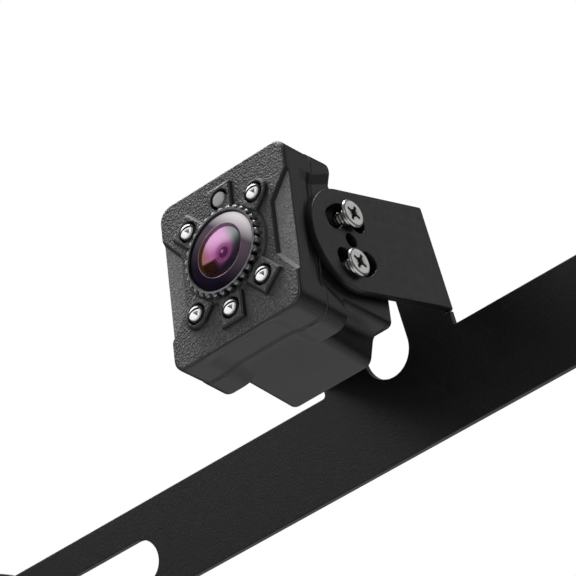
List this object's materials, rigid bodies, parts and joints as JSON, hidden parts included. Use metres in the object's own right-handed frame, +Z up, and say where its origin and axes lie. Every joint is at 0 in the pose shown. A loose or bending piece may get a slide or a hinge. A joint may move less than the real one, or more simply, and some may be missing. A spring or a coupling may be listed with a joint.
{
  "type": "backup camera",
  "caption": "Small square backup camera with lamps round its lens, tilting between the ears of a black steel licence-plate bar with slotted ends.",
  "frame": {"origin": "on the bar's back face, at the middle of its length and of its height", "axes": "+X along the bar, to the left seen from the lens side; -Y the way the camera looks; +Z up"},
  "size_m": [0.2004, 0.0377, 0.0476],
  "materials": {
    "black_powder_coat": "satin black powder coat",
    "housing_plastic": "satin black, fine grain on the front",
    "rubber": "matt black rubber",
    "lens_black": "black anodised",
    "clear_glass": "clear, polished",
    "coated_glass": "clear with a violet and green coating",
    "chip_black": "matt moulded black",
    "circuit_board": "green solder mask",
    "nylon_white": "natural nylon",
    "sensor_grey": "translucent grey resin",
    "brass": "turned brass",
    "black_steel_screw": "black oxide",
    "zinc_plated": "bright zinc plate"
  },
  "bodies": {
    "bracket": {"bracket": "black_powder_coat"},
    "camera": {"board_connector": "nylon_white", "board_spacer_lower_left": "brass", "board_spacer_lower_right": "brass", "board_spacer_upper_left": "brass", "board_spacer_upper_right": "brass", "cable_gland": "rubber", "case_screw_lower_left": "black_steel_screw", "case_screw_lower_right": "black_steel_screw", "case_screw_upper_left": "black_steel_screw", "case_screw_upper_right": "black_steel_screw", "front_housing": "housing_plastic", "housing_seal": "rubber", "image_sensor": "chip_black", "ir_filter": "clear_glass", "lamp_board": "circuit_board", "led_1": "clear_glass", "led_2": "clear_glass", "led_3": "clear_glass", "led_4": "clear_glass", "led_5": "clear_glass", "lens_holder": "chip_black", "light_sensor": "sensor_grey", "rear_housing": "housing_plastic", "sensor_board": "circuit_board", "threaded_insert_left_lower": "brass", "threaded_insert_left_upper": "brass", "threaded_insert_right_lower": "brass", "threaded_insert_right_upper": "brass"},
    "lens": {"lens_ring": "lens_black", "lens_barrel": "lens_black", "front_glass": "clear_glass", "second_lens": "coated_glass", "aperture_disc": "lens_black", "rear_lens": "clear_glass"},
    "screw_left_lower": {"tilt_screw_left_lower": "zinc_plated"},
    "screw_left_upper": {"tilt_screw_left_upper": "zinc_plated"},
    "screw_right_lower": {"tilt_screw_right_lower": "zinc_plated"},
    "screw_right_upper": {"tilt_screw_right_upper": "zinc_plated"}
  },
  "joints": [
    {"name": "camera_tilt", "type": "hinge", "parent": "bracket", "child": "camera", "pos_m": [0, -0.0217, 0.01855], "axis": [-1, 0, 0], "range_deg": [-56, 25.8]},
    {"name": "lens_focus", "type": "hinge", "parent": "camera", "child": "lens", "pos_m": [0, -0.02182, 0.01812], "axis": [0, -0.965, 0.2622], "range_deg": [-90, 90]},
    {"name": "tilt_screw_left_lower_turn", "type": "hinge", "parent": "camera", "child": "screw_left_lower", "pos_m": [-0.0147, -0.02282, 0.01442], "axis": [-1, 0, 0], "range_deg": [0, 270]},
    {"name": "tilt_screw_left_upper_turn", "type": "hinge", "parent": "camera", "child": "screw_left_upper", "pos_m": [-0.0147, -0.02058, 0.02268], "axis": [-1, 0, 0], "range_deg": [0, 270]},
    {"name": "tilt_screw_right_lower_turn", "type": "hinge", "parent": "camera", "child": "screw_right_lower", "pos_m": [0.0147, -0.02282, 0.01442], "axis": [1, 0, 0], "range_deg": [0, 270]},
    {"name": "tilt_screw_right_upper_turn", "type": "hinge", "parent": "camera", "child": "screw_right_upper", "pos_m": [0.0147, -0.02058, 0.02268], "axis": [1, 0, 0], "range_deg": [0, 270]}
  ]
}
